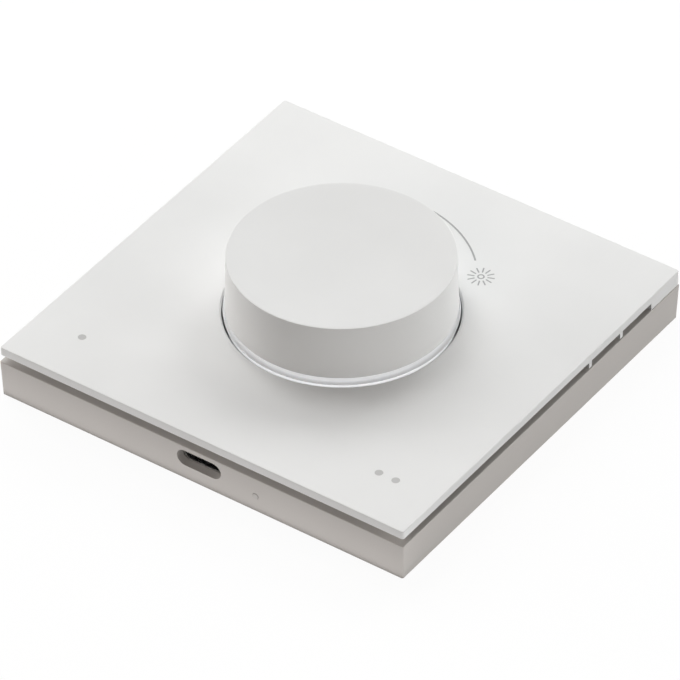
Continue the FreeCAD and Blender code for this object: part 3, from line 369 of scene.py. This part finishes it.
def noise(tree, scale, detail=2.0):
    """Noise fixed to the object, with its scale in cells for each metre."""
    texture = tree.nodes.new("ShaderNodeTexNoise")
    texture.inputs["Scale"].default_value = scale
    texture.inputs["Detail"].default_value = detail
    tree.links.new(place_on_object(tree), texture.inputs["Vector"])
    return texture.outputs["Fac"]


def ramp_over(tree, value, start, end, low, high):
    """A value that goes from low to high while another goes from start to end."""
    ramp = tree.nodes.new("ShaderNodeMapRange")
    ramp.inputs["From Min"].default_value = start
    ramp.inputs["From Max"].default_value = end
    ramp.inputs["To Min"].default_value = low
    ramp.inputs["To Max"].default_value = high
    tree.links.new(value, ramp.inputs["Value"])
    return ramp.outputs["Result"]


def spread(tree, value, low, high):
    """The middle of a noise, stretched over a range."""
    return ramp_over(tree, value, NOISE_LOW, NOISE_HIGH, low, high)


def two_colours(tree, value, first, second):
    mix = tree.nodes.new("ShaderNodeMix")
    mix.data_type = "RGBA"
    mix.inputs["A"].default_value = (*first, 1)
    mix.inputs["B"].default_value = (*second, 1)
    tree.links.new(value, mix.inputs["Factor"])
    return mix.outputs["Result"]


def scaled(colour, factor):
    return tuple(min(1.0, channel * factor) for channel in colour)


def bump(tree, shader, value, depth):
    """Bumps of a depth in millimetres."""
    node = tree.nodes.new("ShaderNodeBump")
    node.inputs["Distance"].default_value = depth * MILLIMETRE
    tree.links.new(value, node.inputs["Height"])
    tree.links.new(node.outputs["Normal"], shader.inputs["Normal"])


def moulded_plastic(name, colour, roughness=0.45, cloud=0.015, grain=9000.0, depth=0.002, glow=0.0):
    """Moulded plastic: faint clouding of the colour, spark-eroded grain and uneven sheen."""
    material, tree, shader = new_material(name)
    clouds = spread(tree, noise(tree, CLOUD_SCALE), 0.0, 1.0)
    tree.links.new(two_colours(tree, clouds, scaled(colour, 1 - cloud), scaled(colour, 1 + cloud)),
                   shader.inputs["Base Color"])
    fine = noise(tree, grain, FINE_DETAIL)
    tree.links.new(spread(tree, fine, roughness - PLASTIC_SHEEN, roughness + PLASTIC_SHEEN),
                   shader.inputs["Roughness"])
    bump(tree, shader, fine, depth)
    shader.inputs["IOR"].default_value = PLASTIC_IOR
    if glow:
        shader.inputs["Subsurface Weight"].default_value = glow
        shader.inputs["Subsurface Radius"].default_value = GLOW_RADIUS
        shader.inputs["Subsurface Scale"].default_value = GLOW_DEPTH * MILLIMETRE
    return material


def clear_plastic(name):
    """Clear moulding with faint ripples from its mould."""
    material, tree, shader = new_material(name)
    shader.inputs["Base Color"].default_value = (*CLEAR_COLOUR, 1)
    shader.inputs["Transmission Weight"].default_value = 1.0
    shader.inputs["IOR"].default_value = CLEAR_IOR
    ripples = noise(tree, RIPPLE_SCALE)
    tree.links.new(spread(tree, ripples, *CLEAR_ROUGHNESS), shader.inputs["Roughness"])
    bump(tree, shader, ripples, RIPPLE_DEPTH)
    return material


def plain_metal(name, colour, roughness=0.3, scale=4000.0, depth=0.001, streak=1.0):
    """Plated or drawn metal. Streak stretches the grain along X."""
    material, tree, shader = new_material(name)
    stretch = tree.nodes.new("ShaderNodeMapping")
    stretch.inputs["Scale"].default_value = (1 / streak, 1, 1)
    tree.links.new(place_on_object(tree), stretch.inputs["Vector"])
    texture = tree.nodes.new("ShaderNodeTexNoise")
    texture.inputs["Scale"].default_value = scale
    texture.inputs["Detail"].default_value = FINE_DETAIL
    tree.links.new(stretch.outputs["Vector"], texture.inputs["Vector"])
    grain = texture.outputs["Fac"]
    shade = spread(tree, grain, 0.0, 1.0)
    dark, light = (scaled(colour, tone) for tone in METAL_TONES)
    tree.links.new(two_colours(tree, shade, dark, light), shader.inputs["Base Color"])
    smooth, rough = (roughness + change for change in METAL_SHEEN)
    tree.links.new(spread(tree, grain, smooth, rough), shader.inputs["Roughness"])
    bump(tree, shader, grain, depth)
    shader.inputs["Metallic"].default_value = 1.0
    return material


def board_laminate(name, mask, copper):
    """Circuit board: solder mask over faint copper areas, with a fine glass weave."""
    material, tree, shader = new_material(name)
    place = place_on_object(tree)
    areas = tree.nodes.new("ShaderNodeTexVoronoi")
    areas.distance = "MANHATTAN"
    areas.inputs["Scale"].default_value = COPPER_SCALE
    tree.links.new(place, areas.inputs["Vector"])
    step = tree.nodes.new("ShaderNodeMath")
    step.operation = "GREATER_THAN"
    step.inputs[1].default_value = COPPER_EDGE
    tree.links.new(areas.outputs["Distance"], step.inputs[0])
    tree.links.new(two_colours(tree, step.outputs[0], mask, copper), shader.inputs["Base Color"])
    weave = tree.nodes.new("ShaderNodeTexWave")
    weave.inputs["Scale"].default_value = WEAVE_SCALE
    weave.inputs["Distortion"].default_value = WEAVE_DISTORTION
    tree.links.new(place, weave.inputs["Vector"])
    bump(tree, shader, weave.outputs["Fac"], WEAVE_DEPTH)
    tree.links.new(spread(tree, weave.outputs["Fac"], *BOARD_ROUGHNESS), shader.inputs["Roughness"])
    return material


def soft_rubber(name, colour, roughness=0.75, pores=2500.0, depth=0.01):
    """Foam or silicone with small pores and a faint sheen."""
    material, tree, shader = new_material(name)
    cells = tree.nodes.new("ShaderNodeTexVoronoi")
    cells.inputs["Scale"].default_value = pores
    tree.links.new(place_on_object(tree), cells.inputs["Vector"])
    pore = cells.outputs["Distance"]
    dark, light = (scaled(colour, tone) for tone in PORE_TONES)
    tree.links.new(two_colours(tree, pore, dark, light), shader.inputs["Base Color"])
    smooth, rough = (roughness + change for change in PORE_SHEEN)
    tree.links.new(spread(tree, pore, smooth, rough), shader.inputs["Roughness"])
    bump(tree, shader, pore, depth)
    return material


def painted_glow_guide(name):
    """Milky moulding with a painted glow, which stands in for light carried in through the clear ring,
    falls off towards its rim and paints a bright line near the top of its side.
    """
    material = moulded_plastic(name, **MILKY_LOOK)
    tree = material.node_tree
    shader = tree.nodes["Principled BSDF"]
    place = place_on_object(tree)
    flat = tree.nodes.new("ShaderNodeVectorMath")
    flat.operation = "MULTIPLY"
    flat.inputs[1].default_value = (1, 1, 0)
    tree.links.new(place, flat.inputs[0])
    radius = tree.nodes.new("ShaderNodeVectorMath")
    radius.operation = "LENGTH"
    tree.links.new(flat.outputs["Vector"], radius.inputs[0])
    rim = (GUIDE_RADIUS - GUIDE_RIM) * MILLIMETRE
    over = ramp_over(tree, radius.outputs["Value"], GUIDE_INNER * MILLIMETRE, rim,
                     GUIDE_PAINTED_GLOW_INNER, GUIDE_PAINTED_GLOW_OUTER)
    side = ramp_over(tree, radius.outputs["Value"], rim, GUIDE_RADIUS * MILLIMETRE,
                     0.0, GUIDE_PAINTED_GLOW_SIDE - GUIDE_PAINTED_GLOW_OUTER)
    split = tree.nodes.new("ShaderNodeSeparateXYZ")
    tree.links.new(place, split.inputs[0])
    painted_glow_from = GUIDE_TOP - GUIDE_PAINTED_GLOW_DEPTH
    near_top = ramp_over(tree, split.outputs["Z"], (painted_glow_from - GUIDE_PAINTED_GLOW_FADE) * MILLIMETRE,
                         painted_glow_from * MILLIMETRE, 0.0, 1.0)
    even = combined(tree, "ADD", over, combined(tree, "MULTIPLY", side, near_top))
    uneven = spread(tree, noise(tree, GUIDE_UNEVEN_SCALE), *GUIDE_UNEVEN)
    # Painted glow: emission that stands in for light carried in through the clear ring, with a painted
    # bright line near the top of the side
    tree.links.new(combined(tree, "MULTIPLY", even, uneven), shader.inputs["Emission Strength"])
    shader.inputs["Emission Color"].default_value = (*GUIDE_PAINTED_GLOW_COLOUR, 1)
    return material


def make_materials():
    """All materials by name. Those of the frame's nodes have the names of the record's slots."""
    families = ((moulded_plastic, PLASTICS), (plain_metal, METALS), (board_laminate, BOARDS),
                (soft_rubber, RUBBERS))
    made = {name: make(name, **look) for make, looks in families for name, look in looks.items()}
    made["clear_acrylic"] = clear_plastic("clear_acrylic")
    # The milky guide carries a painted glow in place of light carried in through the clear ring
    made["milky_acrylic"] = painted_glow_guide("milky_acrylic")
    return made


def dress_nodes(materials):
    """Gives every node of the frame the material of its slot."""
    for part in frame["record"]["subparts"]:
        mesh = frame["nodes"][part["node"]].data
        mesh.materials.clear()
        mesh.materials.append(materials[part["material_slot"]])


def arc(across, up, radius, start, end, steps):
    """Points on an arc round a centre, with angles in degrees from the outward direction."""
    angles = [math.radians(start + (end - start) * index / steps) for index in range(steps + 1)]
    return [(across + radius * math.cos(a), up + radius * math.sin(a)) for a in angles]


def turned_mesh(name, outline, closed):
    """A full turn of an outline of (radius, z) points in millimetres. A radius of 0 is one point."""
    shape = bmesh.new()
    rows = []
    for radius, level in outline:
        count = TURN_STEPS if radius > 0 else 1
        turns = [FULL_TURN * index / TURN_STEPS for index in range(count)]
        rows.append([shape.verts.new((radius * MILLIMETRE * math.cos(a), radius * MILLIMETRE * math.sin(a),
                                      level * MILLIMETRE)) for a in turns])
    pairs = list(zip(rows, rows[1:]))
    if closed:
        pairs.append((rows[-1], rows[0]))
    for first, second in pairs:
        for index in range(TURN_STEPS):
            after = (index + 1) % TURN_STEPS
            if len(first) == 1:
                corners = (first[0], second[index], second[after])
            elif len(second) == 1:
                corners = (first[index], second[0], first[after])
            else:
                corners = (first[index], second[index], second[after], first[after])
            shape.faces.new(corners)
    bmesh.ops.recalc_face_normals(shape, faces=shape.faces)
    mesh = bpy.data.meshes.new(name)
    shape.to_mesh(mesh)
    shape.free()
    mesh.shade_smooth()
    mesh.set_sharp_from_angle(angle=math.radians(SHARP_ANGLE))
    return mesh


def turned_piece(name, outline, materials, slot, body, node, closed=True):
    """A turned piece with the material of a slot, in place of a node of the frame."""
    mesh = turned_mesh(name, outline, closed)
    mesh.materials.append(materials[slot])
    piece = bpy.data.objects.new(name, mesh)
    bpy.context.collection.objects.link(piece)
    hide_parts(node)
    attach(piece, body)


def make_knob(materials):
    """Knob cap: shallow dish, fine top edge, slightly leaning side, hollow below."""
    ball = (KNOB_DISH_RADIUS ** 2 + KNOB_DISH ** 2) / (2 * KNOB_DISH)
    ball_centre = KNOB_TOP - KNOB_DISH + ball
    outline = []
    for index in range(DISH_STEPS + 1):
        radius = KNOB_DISH_RADIUS * index / DISH_STEPS
        outline.append((radius, ball_centre - math.sqrt(ball ** 2 - radius ** 2)))
    outline += arc(KNOB_TOP_RADIUS - KNOB_EDGE, KNOB_TOP - KNOB_EDGE, KNOB_EDGE, 90, 0, EDGE_STEPS)
    outline += arc(KNOB_RADIUS - KNOB_FOOT_EDGE, KNOB_BOTTOM + KNOB_FOOT_EDGE, KNOB_FOOT_EDGE,
                   0, -90, FOOT_STEPS)
    crown = KNOB_TOP - KNOB_DISH - KNOB_CROWN
    outline += [(KNOB_BORE, KNOB_BOTTOM), (KNOB_BORE, crown), (0, crown)]
    turned_piece("knob_shell", outline, materials, "knob_plastic", "knob", "knob_cap", closed=False)


def make_ring(materials):
    """Clear ring round the foot of the knob, and the milky light guide inside it, which carries a painted
    glow.
    """
    outline = [(RING_RADIUS - RING_WALL, DECK_TOP), (RING_FLANGE_RADIUS, DECK_TOP),
               (RING_FLANGE_RADIUS, RING_FLANGE_TOP), (RING_RADIUS, RING_FLANGE_TOP)]
    outline += arc(RING_RADIUS - RING_EDGE, RING_TOP - RING_EDGE, RING_EDGE, 0, 90, EDGE_STEPS)
    outline += [(RING_LIP_INNER, RING_TOP), (RING_LIP_INNER, RING_TOP - RING_LIP),
                (RING_RADIUS - RING_WALL, RING_TOP - RING_LIP)]
    turned_piece("ring_clear", outline, materials, "clear_acrylic", "base", "light_ring")
    guide = [(GUIDE_INNER, DECK_TOP), (GUIDE_RADIUS, DECK_TOP), (GUIDE_RADIUS, GUIDE_TOP),
             (RING_LIP_INNER, GUIDE_TOP), (RING_LIP_INNER, GUIDE_TOP - GUIDE_LIP),
             (GUIDE_INNER, GUIDE_TOP - GUIDE_LIP)]
    turned_piece("ring_guide", guide, materials, "milky_acrylic", "base", "ring_diffuser")


def on_plate(shape, points):
    """Vertices just above the face plate, from flat points in millimetres."""
    level = (PLATE_TOP + MARK_LIFT) * MILLIMETRE
    return [shape.verts.new((x * MILLIMETRE, y * MILLIMETRE, level)) for x, y in points]


def add_band(shape, centre, radius, width, start, end, steps):
    """A curved line from one angle to another."""
    outside = on_plate(shape, arc(*centre, radius + width / 2, start, end, steps))
    inside = on_plate(shape, arc(*centre, radius - width / 2, start, end, steps))
    for index in range(steps):
        shape.faces.new((outside[index], outside[index + 1], inside[index + 1], inside[index]))


def add_ray(shape, centre, angle):
    """A short bar with round ends that points away from a centre."""
    along = Vector((math.cos(angle), math.sin(angle)))
    across = Vector((-along.y, along.x))
    half = SIGN_LINE / 2
    points = []
    for place, first in ((SIGN_RAY_END - half, -0.5), (SIGN_RAY_START + half, 0.5)):
        for index in range(SIGN_RAY_STEPS + 1):
            turn = math.pi * (first + index / SIGN_RAY_STEPS)
            offset = along * math.cos(turn) + across * math.sin(turn)
            points.append(Vector(centre) + along * place + offset * half)
    shape.faces.new(on_plate(shape, points))


def draw_dot(shape, centre):
    circle = arc(*centre, DOT_RADIUS, 0, 360, DOT_STEPS)
    shape.faces.new(on_plate(shape, circle[:-1]))


def draw_sign(shape, centre):
    """The brightness sign: a small ring with rays round it."""
    add_band(shape, centre, SIGN_RING_RADIUS, SIGN_LINE, 0, 360, SIGN_RING_STEPS)
    for index in range(SIGN_RAY_COUNT):
        add_ray(shape, centre, math.radians(SIGN_TURN) + FULL_TURN * index / SIGN_RAY_COUNT)


def draw_arc(shape, centre):
    add_band(shape, centre, ARC_RADIUS, ARC_LINE, ARC_START, ARC_END, ARC_STEPS)


def make_mark(name, material, draw, centre):
    """A printed mark on the face plate, with its faces turned up."""
    shape = bmesh.new()
    draw(shape, centre)
    bmesh.ops.recalc_face_normals(shape, faces=shape.faces)
    for face in shape.faces:
        if face.normal.z < 0:
            face.normal_flip()
    mesh = bpy.data.meshes.new(name)
    shape.to_mesh(mesh)
    shape.free()
    mesh.materials.append(material)
    mark = bpy.data.objects.new(name, mesh)
    bpy.context.collection.objects.link(mark)
    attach(mark, "plate")


def make_marks(materials):
    for index, centre in enumerate(DOT_PLACES):
        make_mark("dot_%d" % index, materials["print_grey"], draw_dot, centre)
    make_mark("brightness_sign", materials["print_dark"], draw_sign, SIGN_CENTRE)
    make_mark("brightness_arc", materials["print_dark"], draw_arc, ARC_CENTRE)


make_camera()
make_lamps()
make_world()
make_floor()
materials = make_materials()
dress_nodes(materials)
make_knob(materials)
make_ring(materials)
make_marks(materials)
bpy.context.scene.view_settings.view_transform = "Standard"
